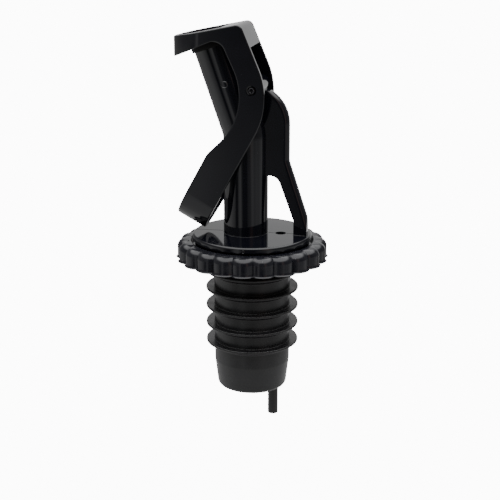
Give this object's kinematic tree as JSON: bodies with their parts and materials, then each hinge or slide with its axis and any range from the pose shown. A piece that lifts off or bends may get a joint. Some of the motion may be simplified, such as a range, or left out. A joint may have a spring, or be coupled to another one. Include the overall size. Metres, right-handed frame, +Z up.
{
  "type": "self-closing bottle pourer",
  "caption": "Liquor bottle pour spout with a bent tube, a gravity flap on a cross pin, a scalloped collar and a finned stopper with an air tube.",
  "frame": {"origin": "middle of the collar's underside, where it sits on the bottle rim", "axes": "+Z up out of the bottle along the stopper's axis, the spout leans towards -X, the flap's pivot lies along Y"},
  "size_m": [0.0358, 0.036, 0.0943],
  "materials": {
    "gloss_black": "moulded, glossy",
    "satin_black": "soft moulded, satin",
    "seal_rubber": "matt",
    "pin_steel": "dulled steel",
    "air_tube_plastic": "moulded, glossy"
  },
  "bodies": {
    "spout": {"spout_body": "gloss_black", "pivot_pin": "pin_steel", "vent_tube": "air_tube_plastic", "scalloped_collar": "satin_black", "finned_stopper": "satin_black"},
    "flap": {"flap_lever": "gloss_black", "seal_pad": "seal_rubber"}
  },
  "joints": [
    {"name": "flap_pivot", "type": "hinge", "parent": "spout", "child": "flap", "pos_m": [0.001, 0, 0.04005], "axis": [0, 1, 0], "range_deg": [0, 127]}
  ]
}
